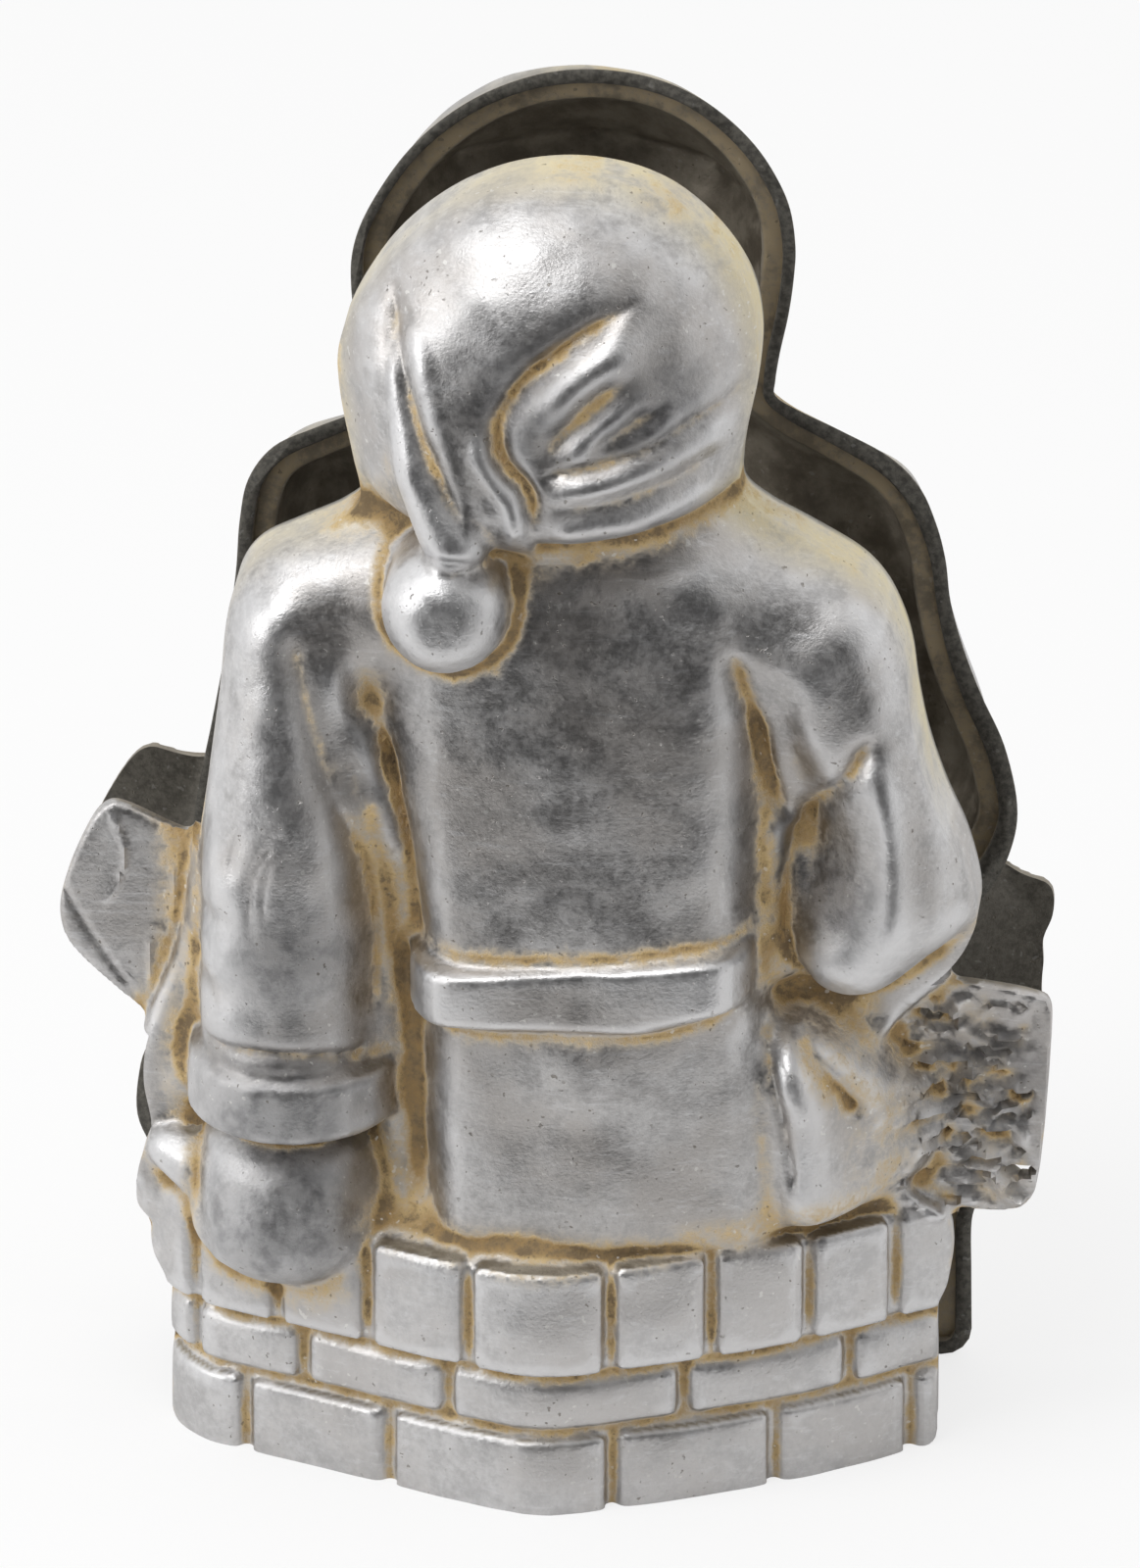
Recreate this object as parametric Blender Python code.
"""A two-part cast aluminium cake mould that stands on its base: a capped figure in a brick chimney.

back_half is the casting whose outside shows the figure's back. Its plain wall edge nests in the other half.
front_half is the casting with the figure's front, and a flange, a step and a ledge round its cavity.

Each half is described in its own casting axes: x to the right, d outwards from the parting plane, z up.
The figures below are millimetres, and become metres where the vertices are made.
"""

import math

import bmesh
import bpy
import numpy as np
from mathutils import Vector

MM = 0.001

# How the two castings meet
APART = 42.6  # distance between the parting planes as the halves stand
SEAT_GAP = 0.3  # between faces that touch when the mould is closed
SIDE_GAP = 0.5  # round the wall edge, inside the step
LEDGE = 5.0  # width of the ledge that takes the wall edge
STEP = 3.0  # how far the ledge lies below the flange
RIM_DEPTH = 7.0  # how far back the flange has tapered away
WALL = 4.6  # thickness of the cast wall

# The chimney
CHIMNEY_TOP = 59.5
MORTAR_DEPTH = 2.6
MORTAR_GAP = 3.4
CORNICE = 3.6  # how far the top course stands proud of the others
CORE_DROP = 2.5  # how far the mortar behind the bricks ends below their top
UNDERCUT = 4.0  # how far the lowest bricks reach below the foot before it is cut flat
FOOT_HALF_WIDTH = 86.0
FOOT_RADIUS = 3.0  # at the lower corners of the line on which the castings meet
FOOT_FLANGE = 3.8
FLANGE_FOOT = 3.2  # height of the flange below that line

# The head
HEAD_CENTRE = 261.7
HEAD_HALF_WIDTH = 46.8
HEAD_RISE = 43.5
HEAD_DEPTH = 45.6
POMPOM_RADIUS = 14.2

# The coat
BELT_X = 12.5
BELT_Z = 122.8
BELT_TILT = 0.09
BELT_HEIGHT = 15.5
BELT_PROUD = 2.6
TRUNK_DEPTH = 41.5
CUFF_TOP = 102.0
CUFF_HEIGHT = 19.0

# The side plates
TAB_THICKNESS = 3.4

# The figure's forms stand on a web that joins them
WEB_DEPTH = 10.0
WEB_MARGIN = 1.5  # how far forms and web reach past the meeting line before they are trimmed to it
WEB_FOOT = 57.0  # the web ends where the chimney's bricks begin
SILL = 1.0  # what is left of its depth below that, so that the bricks reach the rim
ROOT = -14.0  # how far behind the parting plane they start
REACH = HEAD_DEPTH + TRUNK_DEPTH  # past the deepest relief

# Fineness of the modelled relief
FORM_GRAIN = 2.0
OUTSIDE_FACES = 3200
CAVITY_FACES = 1800
# The exact solver loses whole cuts or leaves doubled slivers where thousands of small rounded faces meet
ROUNDED = "MANIFOLD"

# Where the castings meet, clockwise from the right foot: x, z, and the flange's width there
RIGHT_SIDE = [
    (86.0, 21.0, 3.6),
    (86.0, 34.0, 3.6),
    (88.4, 41.0, 3.0),
    (89.2, 50.0, 3.0),
    (87.0, 57.5, 3.6),
    (78.0, 63.0, 4.0),
    (70.5, 72.0, 5.0),
    (69.0, 88.0, 6.0),
    (72.0, 102.0, 6.0),
    (80.0, 111.0, 6.0),
    (88.0, 118.5, 6.0),
    (93.0, 127.0, 4.8),
    (94.6, 135.8, 4.2),
    (91.6, 149.0, 4.4),
    (86.6, 161.0, 4.2),
    (82.8, 172.5, 3.8),
    (80.4, 184.0, 3.2),
    (79.0, 194.0, 3.4),
    (76.6, 202.0, 3.8),
    (72.8, 209.4, 4.4),
    (67.0, 215.4, 4.4),
    (57.0, 221.4, 3.8),
    (47.5, 226.6, 3.2),
    (42.3, 231.0, 2.6),
    (41.8, 236.0, 2.6),
]
# Round the head: x and z as shares of its half width and its rise, from its centre
HEAD = [
    (0.910, -0.430, 2.8),
    (0.951, -0.214, 2.8),
    (0.974, -0.016, 2.8),
    (0.979, 0.145, 2.9),
    (0.953, 0.329, 3.0),
    (0.897, 0.478, 3.0),
    (0.801, 0.634, 3.2),
    (0.673, 0.777, 3.2),
    (0.524, 0.890, 3.2),
    (0.342, 0.963, 3.3),
    (0.139, 0.993, 3.3),
    (-0.064, 0.979, 3.3),
    (-0.256, 0.926, 3.0),
    (-0.449, 0.828, 2.8),
    (-0.620, 0.692, 2.6),
    (-0.763, 0.531, 2.4),
    (-0.882, 0.338, 2.3),
    (-0.966, 0.156, 2.3),
    (-1.000, -0.005, 2.5),
    (-0.996, -0.177, 2.8),
    (-0.970, -0.361, 3.0),
]
LEFT_SIDE = [
    (-43.6, 237.0, 3.0),
    (-42.2, 227.0, 2.8),
    (-46.5, 222.4, 3.0),
    (-56.0, 217.6, 3.4),
    (-64.5, 213.0, 3.6),
    (-69.4, 206.4, 3.4),
    (-71.4, 197.0, 3.2),
    (-72.4, 184.0, 3.2),
    (-75.0, 165.0, 3.2),
    (-77.6, 148.0, 3.6),
    (-79.4, 132.0, 5.0),
    (-82.0, 116.0, 5.0),
    (-87.0, 103.0, 5.0),
    (-90.6, 93.0, 4.6),
    (-91.2, 83.0, 4.6),
    (-89.6, 73.0, 5.2),
    (-92.6, 63.0, 5.4),
    (-93.4, 52.0, 5.4),
    (-90.0, 43.0, 4.6),
    (-86.4, 36.0, 4.0),
    (-86.0, 21.0, 4.0),
]
POINTS_PER_SPAN = 2

# The chimney's outside in plan, from left to right: x, d at the face of the bricks
CHIMNEY_PLAN = [
    (-86.2, -8.0),
    (-86.2, 1.0),
    (-83.6, 7.5),
    (-79.0, 13.6),
    (-72.5, 18.4),
    (-54.0, 26.0),
    (-33.0, 35.0),
    (-14.0, 43.0),
    (-2.0, 46.6),
    (8.0, 45.6),
    (20.0, 40.8),
    (34.0, 34.6),
    (52.0, 25.6),
    (70.0, 13.8),
    (80.0, 6.0),
    (86.2, 0.5),
    (86.2, -8.0),
]
# Each course: bottom, top, and the x of the joints between its bricks
BACK_COURSES = [
    (-UNDERCUT, 17.4, (-67.7, -34.0, 17.2, 51.6, 80.3)),
    (20.4, 31.6, (-79.5, -54.0, -20.5, 32.4, 67.5)),
    (34.8, CHIMNEY_TOP, (-77.0, -58.5, -37.3, -14.2, 15.5, 37.0, 57.4, 75.2)),
]
FRONT_COURSES = [
    (-UNDERCUT, 17.4, (-62.0, -22.0, 20.0, 60.0)),
    (20.4, 31.6, (-42.0, 0.0, 42.0, 76.0)),
    (34.8, CHIMNEY_TOP, (-64.0, -38.0, -12.0, 14.0, 40.0, 66.0)),
]

# The plates at the sides: x, z
BACK_LEFT_TAB = [
    (-76.0, 141.5), (-84.0, 144.5), (-97.0, 151.0), (-101.5, 149.0), (-106.0, 141.0), (-110.3, 130.0),
    (-112.0, 121.0), (-109.4, 112.6), (-99.0, 103.0), (-84.0, 90.0), (-74.0, 96.0),
]
BACK_RIGHT_TAB = [
    (64.0, 66.0), (84.0, 57.0), (101.0, 56.4), (106.4, 58.4), (109.4, 64.0), (112.0, 106.0),
    (111.2, 110.6), (107.4, 112.8), (99.0, 114.2), (88.0, 115.6), (66.0, 114.0),
]
FRONT_LEFT_TAB = [
    (-76.0, 142.6), (-84.6, 141.0), (-90.0, 142.4), (-95.0, 144.0), (-99.4, 141.8), (-105.0, 133.0),
    (-110.4, 121.8), (-107.6, 112.4), (-97.6, 102.4), (-84.0, 90.0), (-74.0, 96.0),
]
FRONT_RIGHT_TAB = [
    (64.0, 66.0), (88.0, 58.6), (100.6, 57.6), (105.2, 61.0), (107.2, 78.0), (105.8, 92.6), (106.8, 98.0),
    (105.8, 103.4), (108.8, 109.0), (108.8, 115.6), (107.0, 119.0), (100.4, 120.6), (96.2, 123.4), (86.0, 130.0),
    (66.0, 114.0),
]


def clear_scene():
    for old in list(bpy.data.objects):
        bpy.data.objects.remove(old, do_unlink=True)


def metal(name, colour, roughness, metallic):
    material = bpy.data.materials.new(name)
    material.use_nodes = True
    shader = material.node_tree.nodes["Principled BSDF"]
    shader.inputs["Base Color"].default_value = (*colour, 1.0)
    shader.inputs["Roughness"].default_value = roughness
    shader.inputs["Metallic"].default_value = metallic
    return material


def as_object(name, bm):
    bmesh.ops.recalc_face_normals(bm, faces=bm.faces)
    mesh = bpy.data.meshes.new(name)
    bm.to_mesh(mesh)
    bm.free()
    thing = bpy.data.objects.new(name, mesh)
    bpy.context.scene.collection.objects.link(thing)
    return thing


def bake(thing):
    """Puts what the object's modifiers show into its mesh."""
    bpy.context.view_layer.update()
    graph = bpy.context.evaluated_depsgraph_get()
    mesh = bpy.data.meshes.new_from_object(thing.evaluated_get(graph))
    thing.modifiers.clear()
    thing.data = mesh
    return thing


def combine(thing, other, operation, solver="EXACT"):
    cut = thing.modifiers.new(operation.lower(), "BOOLEAN")
    cut.operation = operation
    cut.solver = solver
    cut.object = other
    bake(thing)
    bpy.data.objects.remove(other, do_unlink=True)
    return thing


class Casting:
    """One half's own axes: x, d outwards from its parting plane, z up."""

    def __init__(self, side):
        self.side = side

    def at(self, x, d, z):
        return Vector((x * MM, self.side * d * MM, z * MM))

    def outward(self, points):
        """d of an array of vertex positions."""
        return self.side * points[:, 1] / MM


def spline(points, per_span):
    """A smooth line through the points, from the first to the last (Catmull-Rom)."""
    padded = [np.array(p, dtype=float) for p in [points[0]] + list(points) + [points[-1]]]
    line = []
    for p0, p1, p2, p3 in zip(padded, padded[1:], padded[2:], padded[3:]):
        for step in range(per_span):
            t = step / per_span
            line.append(
                0.5 * (2 * p1 + (p2 - p0) * t + (2 * p0 - 5 * p1 + 4 * p2 - p3) * t * t
                       + (3 * p1 - p0 - 3 * p2 + p3) * t ** 3)
            )
    line.append(padded[-1])
    return line


def foot_corner(grow, foot):
    """The right foot's rounded corner as (x, z), from its bottom to its side."""
    radius = max(FOOT_RADIUS + grow, 0.4)
    x, z = FOOT_HALF_WIDTH + grow - radius, foot + radius
    return [(x + radius * math.sin(a), z - radius * math.cos(a)) for a in (0.0, math.pi / 4, math.pi / 2)]


def meeting_line(grow=0.0, flange_share=0.0, foot=None):
    """The line on which the castings meet, grown outwards, as (x, z) from the right foot round to the left.

    flange_share 1 adds the flange's own width at each point. foot sets the height of the line's bottom.
    """
    head = [(HEAD_HALF_WIDTH * x, HEAD_CENTRE + HEAD_RISE * z, flange) for x, z, flange in HEAD]
    points = RIGHT_SIDE + head + LEFT_SIDE
    moved = []
    for i, (x, z, flange) in enumerate(points):
        before, after = points[max(i - 1, 0)], points[min(i + 1, len(points) - 1)]
        along = Vector((after[0] - before[0], after[1] - before[1])).normalized()
        distance = grow + flange_share * flange
        moved.append((x + along.y * distance, z - along.x * distance))
    right = foot_corner(grow + flange_share * FOOT_FLANGE, FLANGE_FOOT - grow if foot is None else foot)
    left = [(-x, z) for x, z in reversed(right)]
    side = spline(right[-1:] + moved + left[:1], POINTS_PER_SPAN)
    return right[:-1] + [(x, z) for x, z in side] + left[1:]


def loft(bm, *rings):
    """A solid through outlines of equal length."""
    rings = [[bm.verts.new(point) for point in ring] for ring in rings]
    bm.faces.new(rings[0])
    bm.faces.new(list(reversed(rings[-1])))
    for near, far in zip(rings[:-1], rings[1:]):
        for i in range(len(near)):
            j = (i + 1) % len(near)
            bm.faces.new((near[i], near[j], far[j], far[i]))


def slab(casting, outline, d0, d1):
    """An (x, z) outline run from one d to another."""
    bm = bmesh.new()
    loft(bm, [casting.at(x, d0, z) for x, z in outline], [casting.at(x, d1, z) for x, z in outline])
    return as_object("slab", bm)


def column(casting, plan, z0, z1):
    """An (x, d) plan run from one height to another."""
    bm = bmesh.new()
    loft(bm, [casting.at(x, d, z0) for x, d in plan], [casting.at(x, d, z1) for x, d in plan])
    return as_object("column", bm)


def sphere_directions():
    bm = bmesh.new()
    bmesh.ops.create_icosphere(bm, subdivisions=3, radius=1.0)
    directions = [vertex.co.copy() for vertex in bm.verts]
    bm.free()
    return directions


DIRECTIONS = sphere_directions()


def pad(bm, casting, *balls):
    """A swelling that stands behind the parting plane: the hull of some ellipsoids and of their shadows there.

    Each ellipsoid is x, d, z and its radii along x, d and z.
    """
    verts = []
    for x, d, z, rx, rd, rz in balls:
        for u in DIRECTIONS:
            px, pd, pz = x + u.x * rx, d + u.y * rd, z + u.z * rz
            if u.y >= -0.01:
                verts.append(bm.verts.new(casting.at(px, pd, pz)))
            if abs(u.y) < 0.35:
                verts.append(bm.verts.new(casting.at(px, ROOT, pz)))
    hull = bmesh.ops.convex_hull(bm, input=verts)
    spare = {v for v in hull["geom_interior"] + hull["geom_unused"] if isinstance(v, bmesh.types.BMVert)}
    bmesh.ops.delete(bm, geom=list(spare), context="VERTS")


def body_pads(bm, casting):
    """What both halves share: head, trunk, skirt, and the hanging arm with its cuff and mitten."""
    pad(bm, casting, (0, 0, HEAD_CENTRE, HEAD_HALF_WIDTH + 1, HEAD_DEPTH - 1, HEAD_RISE + 1),
        (0, 0, 238, 44, HEAD_DEPTH, 19))
    pad(bm, casting, (-16, 0, 204, 28, 35, 26), (28, 0, 206, 28, 36, 26),
        (-7, 0, 136, 21, TRUNK_DEPTH, 18), (25, 0, 138, 20.5, TRUNK_DEPTH, 18))
    pad(bm, casting, (-5, 0, 124, 22, TRUNK_DEPTH, 12), (30, 0, 126, 21, TRUNK_DEPTH, 12), (-4, 0, 78, 21.5, 42.5, 13),
        (36, 0, 80, 21.5, 42, 13), (4, 0, 52, 26, 38, 10), (26, 0, 52, 26, 37, 10))
    pad(bm, casting, (-50, 4, 200, 23, 26, 20), (-22, 0, 208, 22, 30, 20))
    pad(bm, casting, (54, 4, 198, 24, 26, 22), (24, 0, 210, 24, 31, 20))
    pad(bm, casting, (-56, 8, 197, 16, 25, 18), (-57, 18, 150, 19, 23, 16), (-57, 18, CUFF_TOP, 20, 23.5, 10))
    # the cuff round the sleeve's end, and the mitten below it
    pad(bm, casting, (-56, 18, CUFF_TOP - 4, 23.5, 25.5, 4), (-56, 18, CUFF_TOP - CUFF_HEIGHT + 4, 24, 26.5, 4))
    pad(bm, casting, (-57, 14, 68, 22, 26, 18), (-56, 18, 58, 23.5, 24, 14))
    # the lumps beyond the mitten
    pad(bm, casting, (-80, 0, 86, 12, 12, 14))
    pad(bm, casting, (-84, 0, 56, 11, 11, 11))


def channel_floors(bm, casting):
    """What lies between the trunk and the sleeves."""
    pad(bm, casting, (-40, 0, 176, 7, 27, 8), (-36, 0, 140, 8, 23, 8), (-32, 0, 64, 8, 24, 8))
    pad(bm, casting, (50, 0, 188, 7, 27, 6), (51, 0, 124, 7, 23, 8))


def belt(bm, casting):
    balls = []
    for x, rx in ((BELT_X - 21.5, 21.5), (BELT_X, 22.0), (BELT_X + 16.0, 21.5)):
        z = BELT_Z + BELT_TILT * (x - BELT_X)
        for reach in (-1, 1):
            balls.append((x, 0, z + reach * (BELT_HEIGHT / 2 - 2.4), rx, TRUNK_DEPTH + BELT_PROUD, 2.6))
    pad(bm, casting, *balls)


def back_pads(bm, casting):
    body_pads(bm, casting)
    channel_floors(bm, casting)
    belt(bm, casting)
    # the cap's tail and its pompom
    pad(bm, casting, (-25, 32, 256, 11, 13, 16), (-18, 36, 230, 8, 12, 8))
    pad(bm, casting, (-20.3, 36, 213, POMPOM_RADIUS, POMPOM_RADIUS + 1, POMPOM_RADIUS))
    # the bent arm, and the sleeve's lower lobe
    pad(bm, casting, (62, 6, 198, 17, 26, 18), (74, 6, 160, 17, 25, 14))
    pad(bm, casting, (76, 6, 158, 16, 25, 12), (75, 10, 140, 20, 23, 15), (68, 14, 128, 14, 18, 12))
    # the ground at the hip, which falls towards the plate
    pad(bm, casting, (60, 4, 104, 10, 20, 12), (62, 2, 72, 12, 23, 10), (76, 0, 80, 8, 8, 16))
    # the thumb
    pad(bm, casting, (-83, 8, 69, 7.5, 10, 6.5), (-76, 14, 66, 7, 10, 8))


def front_pads(bm, casting):
    body_pads(bm, casting)
    channel_floors(bm, casting)
    belt(bm, casting)
    # the cap's rolled brim
    brim = [(-40, 12, 267), (-27, 31, 273), (0, 40, 276), (27, 31, 273), (40, 12, 267)]
    for (xa, da, za), (xb, db, zb) in zip(brim[:-1], brim[1:]):
        pad(bm, casting, (xa, da, za, 8, 9, 8), (xb, db, zb, 8, 9, 8))
    # nose, cheeks, moustache and beard
    pad(bm, casting, (0, 41, 259, 3, 7, 4), (0, 42, 250, 5, 9, 4.4))
    for side in (-1, 1):
        pad(bm, casting, (side * 16, 36, 249, 9, 10, 7))
        pad(bm, casting, (side * 5, 42, 242.5, 5, 8, 3.6), (side * 19, 36, 238, 5, 8, 3.4))
        pad(bm, casting, (side * 31, 14, 246, 10, 16, 12), (side * 24, 24, 226, 12, 15, 14),
            (side * 8, 32, 207, 12, 14, 12))
    pad(bm, casting, (-14, 30, 226, 12, 15, 12), (14, 30, 226, 12, 15, 12), (0, 33, 203, 9, 13, 9))
    # the coat's front band and the belt's buckle
    pad(bm, casting, (8, 34, 190, 6, 10.5, 6), (12, 36, 138, 6, 9.5, 6))
    pad(bm, casting, (14, 36, 110, 6, 10.5, 6), (16, 34, 68, 6, 10.5, 6))
    pad(bm, casting, (BELT_X, 38, BELT_Z, 11, 10, 9.5))
    # the bent arm, and the mitten that rests on the belt
    pad(bm, casting, (62, 6, 198, 17, 26, 18), (74, 6, 160, 17, 25, 14))
    pad(bm, casting, (76, 6, 158, 16, 25, 12), (75, 10, 138, 18, 24, 14))
    pad(bm, casting, (74, 10, 134, 17, 24, 12), (56, 24, 122, 12, 21, 11))
    pad(bm, casting, (56, 24, 121, 6, 24, 13.5), (50, 26, 120, 6, 24, 13.5))
    pad(bm, casting, (42, 34, 118, 12, 16, 9.5))
    # the ground at the hip
    pad(bm, casting, (60, 4, 96, 10, 20, 12), (62, 2, 72, 12, 23, 10), (76, 0, 80, 8, 8, 16))


# Folds drawn on the relief: width, height (below zero for a groove), then x, z points
BACK_FOLDS = [
    # the cap's fold at the left, its tail, and the hook-shaped seam
    (3.4, -4.6, [(-31, 281), (-31, 273), (-26.5, 260), (-20, 243.6), (-14, 231)]),
    (3.0, 2.6, [(-34.6, 280), (-34, 268), (-28.6, 251), (-22.4, 231)]),
    (2.4, 2.2, [(-11, 254), (-7, 245.7), (-3.6, 239), (-5, 231)]),
    (3.2, -6.0, [(20, 284), (9, 278), (-1.4, 270), (-8.2, 259), (-7.6, 251), (-1.4, 244), (-0.4, 231)]),
    # the folds that gather into it
    (3.6, 3.0, [(0, 262), (8, 271.5), (19, 280)]),
    (3.4, -4.2, [(1, 251), (11, 263.5), (22, 274.6)]),
    (3.4, -3.6, [(13, 255.4), (21.5, 259.6), (31, 271)]),
    (3.6, 2.2, [(18, 252), (28, 261), (35, 272)]),
    (2.2, -3.2, [(3, 247.6), (14.5, 250), (31.2, 256), (43, 260)]),
    (2.2, -2.4, [(3, 242), (14.4, 243), (30.9, 247), (39, 249.4)]),
    (2.8, -5.0, [(0, 228), (19.5, 229.6), (41, 232.6)]),
    # the hanging sleeve and the shoulder
    (3.2, -3.4, [(-54.6, 202), (-52.8, 192), (-49, 173), (-46, 165)]),
    (2.4, -3.2, [(-45, 172), (-38.4, 151), (-35.4, 127), (-35.6, 114)]),
    (2.6, 2.0, [(-52, 200), (-42, 179), (-35.4, 160), (-31, 141), (-31, 127)]),
    (2.4, -3.4, [(-35, 176), (-30.4, 159.5), (-27, 138), (-26, 129)]),
    # the bent arm's folds
    (4.6, 2.6, [(50, 206), (56, 192), (56.6, 170)]),
    (2.2, -4.0, [(44, 198), (49.4, 174), (54.4, 157)]),
    (2.2, -4.4, [(69, 179), (60, 163.6), (55.2, 157)]),
    (2.8, -3.6, [(45.4, 182), (47, 150), (47, 138)]),
    (2.2, -3.6, [(54.6, 156), (53, 138), (54.4, 126)]),
    (2.2, 2.4, [(72, 176), (75.4, 147), (74, 124)]),
    # the coat's edge at the hip
    (1.8, -3.0, [(50, 114), (55.8, 94.6), (57.4, 76)]),
    (2.0, 2.8, [(55, 108), (62.4, 101.4), (69, 90)]),
]
FRONT_FOLDS = [
    # brows, eyes and mouth
    (2.0, 1.2, [(-16, 265), (-9, 266.4), (-4, 264.6)]),
    (2.0, 1.2, [(16, 265), (9, 266.4), (4, 264.6)]),
    (3.6, -2.2, [(-11, 259.6), (-7.5, 259.6)]),
    (3.6, -2.2, [(11, 259.6), (7.5, 259.6)]),
    (1.9, 2.4, [(-11, 259.4), (-7.6, 259.4)]),
    (1.9, 2.4, [(11, 259.4), (7.6, 259.4)]),
    (1.8, -2.4, [(-5, 236.4), (0, 235.8), (5, 236.4)]),
    # waves in the beard
    (2.4, -2.2, [(-24, 240), (-22, 226), (-13, 209)]),
    (2.4, -2.2, [(-12, 234), (-11, 220), (-5, 204)]),
    (2.4, -2.2, [(0, 230), (0.5, 214), (0, 200)]),
    (2.4, -2.2, [(12, 234), (11, 220), (5, 204)]),
    (2.4, -2.2, [(24, 240), (22, 226), (13, 209)]),
    # the sleeves
    (3.0, -3.6, [(-54.6, 202), (-52.8, 192), (-49, 173), (-46, 165)]),
    (2.4, -4.4, [(-36, 178), (-31.6, 160), (-28, 138), (-27, 129)]),
    (2.8, -4.0, [(45, 192), (47, 166), (48, 144)]),
    (2.4, -3.4, [(72, 172), (64, 160), (58, 152)]),
]
RIM_CALM = (4.0, 12.0)  # folds fade in between these distances from the parting plane


def distance_to_line(points, line):
    best = np.full(len(points), 1e9)
    for (xa, za), (xb, zb) in zip(line[:-1], line[1:]):
        a = np.array((xa, za), dtype=float)
        b = np.array((xb, zb), dtype=float)
        t = np.clip(((points - a) @ (b - a)) / ((b - a) @ (b - a)), 0.0, 1.0)
        best = np.minimum(best, np.linalg.norm(points - a - t[:, None] * (b - a), axis=1))
    return best


def draw_folds(thing, casting, folds):
    """Presses grooves into the relief and raises ridges on it, square to the parting plane."""
    mesh = thing.data
    flat = np.empty(len(mesh.vertices) * 3)
    mesh.vertices.foreach_get("co", flat)
    places = flat.reshape(-1, 3)
    across = places[:, (0, 2)] / MM
    outward = casting.outward(places)
    strength = np.clip((outward - RIM_CALM[0]) / (RIM_CALM[1] - RIM_CALM[0]), 0.0, 1.0)
    lift = np.zeros(len(places))
    for width, height, line in folds:
        lift += height * np.exp(-((distance_to_line(across, line) / width) ** 2))
    places[:, 1] += casting.side * lift * strength * MM
    mesh.vertices.foreach_set("co", places.ravel())
    mesh.update()
    return thing


def melt(thing):
    """Makes the overlapping forms one rounded surface."""
    skin = thing.modifiers.new("skin", "REMESH")
    skin.mode = "VOXEL"
    skin.voxel_size = FORM_GRAIN * MM
    ease = thing.modifiers.new("ease", "SMOOTH")
    ease.factor = 0.5
    ease.iterations = 4
    return bake(thing)


def lean(thing, faces):
    thin = thing.modifiers.new("thin", "DECIMATE")
    thin.ratio = faces / (2 * len(thing.data.polygons))
    return bake(thing)


def relief(casting, pads, folds):
    """The figure as one rounded form: its pads, the web between them and the chimney's mass."""
    bm = bmesh.new()
    pads(bm, casting)
    low = meeting_line(WEB_MARGIN, foot=ROOT)
    high = [(x, max(z, WEB_FOOT)) for x, z in low]
    loft(bm, [casting.at(x, ROOT, z) for x, z in low], [casting.at(x, SILL, z) for x, z in low])
    loft(bm, [casting.at(x, ROOT, z) for x, z in high], [casting.at(x, WEB_DEPTH, z) for x, z in high])
    plan = [(x, max(d, ROOT)) for x, d in grown_plan(CHIMNEY_PLAN, -2 * MORTAR_DEPTH)]
    plan = [(plan[0][0], ROOT)] + plan + [(plan[-1][0], ROOT)]
    loft(bm, [casting.at(x, d, ROOT) for x, d in plan], [casting.at(x, d, CHIMNEY_TOP) for x, d in plan])
    return draw_folds(melt(as_object("relief", bm)), casting, folds)


def grown_plan(plan, grow):
    """The chimney's plan with its faces moved out by a distance."""
    points = [Vector(p) for p in plan]
    moved = []
    for i, point in enumerate(points):
        before = points[max(i - 1, 0)]
        after = points[min(i + 1, len(points) - 1)]
        along = (after - before).normalized()
        moved.append(tuple(point + Vector((-along.y, along.x)) * grow))
    return moved


def chimney(casting, courses, inset):
    """The chimney: a core at the depth of the mortar, and bricks that stand out of it."""
    core = column(casting, grown_plan(CHIMNEY_PLAN, -MORTAR_DEPTH - inset), -UNDERCUT,
                  CHIMNEY_TOP - CORE_DROP - inset)
    ease = inset / 4
    for number, (bottom, top, joints) in enumerate(courses):
        cornice = number == len(courses) - 1
        proud = CORNICE if cornice else 0.0
        low = bottom + (0.8 * inset if cornice else ease)
        high = top - (inset if cornice else ease)
        edges = [-2 * FOOT_HALF_WIDTH] + list(joints) + [2 * FOOT_HALF_WIDTH]
        bm = bmesh.new()
        for left, right in zip(edges[:-1], edges[1:]):
            x0, x1 = left + MORTAR_GAP / 2 + ease, right - MORTAR_GAP / 2 - ease
            corners = [bm.verts.new(casting.at(x, d, z)) for z in (low, high)
                       for x, d in ((x0, ROOT / 2), (x1, ROOT / 2), (x1, REACH), (x0, REACH))]
            for face in ((0, 1, 2, 3), (7, 6, 5, 4), (0, 4, 5, 1), (1, 5, 6, 2), (2, 6, 7, 3), (3, 7, 4, 0)):
                bm.faces.new([corners[k] for k in face])
        bricks = as_object("bricks", bm)
        face_plan = column(casting, grown_plan(CHIMNEY_PLAN, proud - inset), low - 1.0, high + 1.0)
        combine(bricks, face_plan, "INTERSECT")
        combine(core, bricks, "UNION")
    return core


def hollow(casting, form, courses):
    """The cavity: the outside's own form, a wall's thickness smaller all round."""
    shrink = form.modifiers.new("shrink", "DISPLACE")
    shrink.strength = -WALL * MM
    shrink.mid_level = 0.0
    bake(form)
    room = lean(melt(form), CAVITY_FACES)
    combine(room, chimney(casting, courses, WALL), "UNION", ROUNDED)
    return combine(room, slab(casting, meeting_line(-LEDGE), ROOT / 2, REACH), "INTERSECT", ROUNDED)


def shell_parts(casting, pads, folds, courses):
    """The half's outside, before it is trimmed to the meeting line, and its cavity."""
    form = relief(casting, pads, folds)
    inner = form.copy()
    inner.data = form.data.copy()
    bpy.context.scene.collection.objects.link(inner)
    outer = lean(form, OUTSIDE_FACES)
    combine(outer, chimney(casting, courses, 0.0), "UNION", ROUNDED)
    return outer, hollow(casting, inner, courses)


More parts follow.
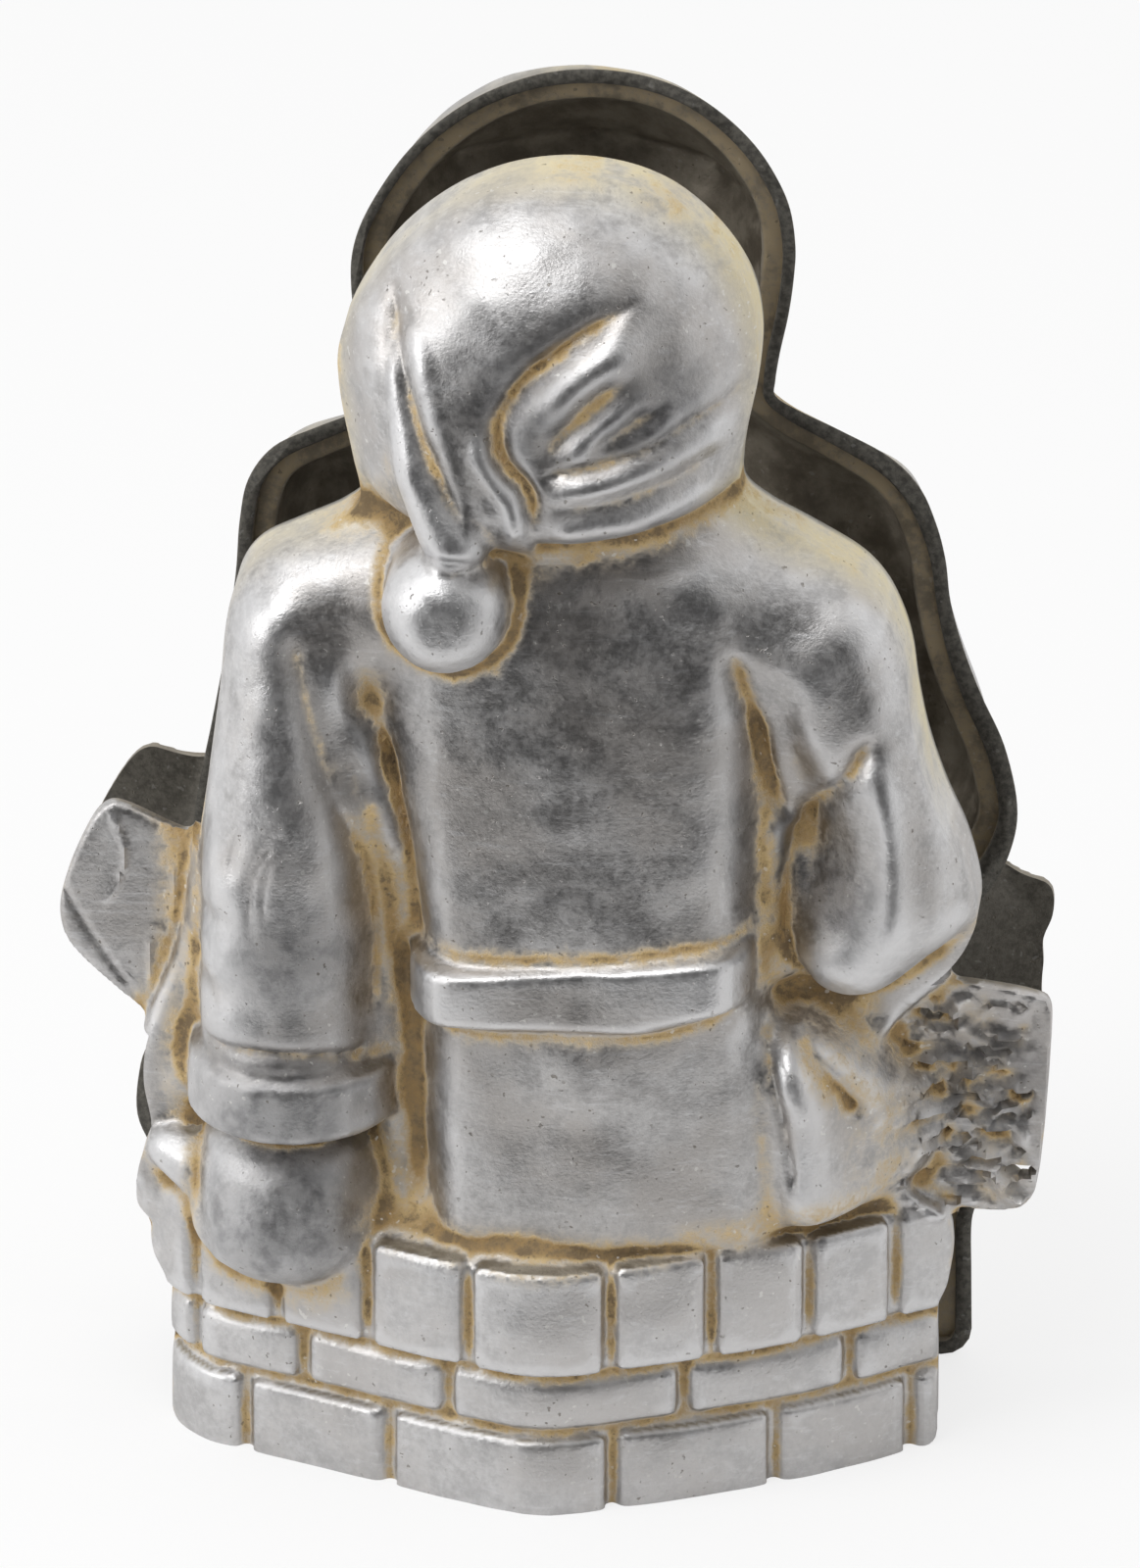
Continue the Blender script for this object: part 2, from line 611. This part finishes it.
def add_tabs(half, casting, outlines):
    for outline in outlines:
        combine(half, slab(casting, outline, SEAT_GAP, SEAT_GAP + TAB_THICKNESS), "UNION", ROUNDED)


def nesting_outline(casting):
    """The back half's outline. Its lip, which nests in the other half's step, stops above the foot."""
    lip = STEP - SEAT_GAP
    bm = bmesh.new()
    rings = [(meeting_line(-SIDE_GAP), -lip), (meeting_line(-SIDE_GAP), 0.0)]
    rings += [(meeting_line(-SIDE_GAP, foot=0.0), SEAT_GAP), (meeting_line(-SIDE_GAP, foot=0.0), REACH)]
    loft(bm, *[[casting.at(x, d, z) for x, z in line] for line, d in rings])
    return as_object("outline", bm)


def back_half():
    casting = Casting(-1)
    half, cavity = shell_parts(casting, back_pads, BACK_FOLDS, BACK_COURSES)
    combine(half, nesting_outline(casting), "INTERSECT", ROUNDED)
    add_tabs(half, casting, (BACK_LEFT_TAB, BACK_RIGHT_TAB))
    return combine(half, cavity, "DIFFERENCE", ROUNDED)


def flange(casting):
    """The rim round the front half. It thins towards the back, so that the casting leaves its sand mould."""
    bm = bmesh.new()
    wide = meeting_line(flange_share=1.0, foot=0.0)
    narrow = meeting_line(foot=0.0)
    loft(bm, [casting.at(x, 0.0, z) for x, z in wide], [casting.at(x, RIM_DEPTH, z) for x, z in narrow])
    return as_object("flange", bm)


def front_half():
    casting = Casting(1)
    half, cavity = shell_parts(casting, front_pads, FRONT_FOLDS, FRONT_COURSES)
    combine(half, slab(casting, meeting_line(-SIDE_GAP, foot=0.0), STEP / 2, REACH), "INTERSECT", ROUNDED)
    combine(half, flange(casting), "UNION", ROUNDED)
    add_tabs(half, casting, (FRONT_LEFT_TAB, FRONT_RIGHT_TAB))
    combine(half, slab(casting, meeting_line(), -STEP, STEP), "DIFFERENCE", ROUNDED)
    return combine(half, cavity, "DIFFERENCE", ROUNDED)


def finish(half, name, side, material):
    """Names a half and stands it at its place. Its origin is on the line along which the halves close."""
    half.name = name
    half.location = (0.0, side * APART / 2 * MM, 0.0)
    half.data.name = name
    half.data.materials.clear()
    half.data.materials.append(material)
    half.data.shade_smooth()
    half.data.set_sharp_from_angle(angle=math.radians(40.0))


def build():
    clear_scene()
    bright = metal("bright_cast_aluminium", (0.62, 0.61, 0.60), 0.38, 0.9)
    dark = metal("dark_cast_aluminium", (0.20, 0.19, 0.18), 0.55, 0.8)
    finish(back_half(), "back_half", -1, bright)
    finish(front_half(), "front_half", 1, dark)


build()
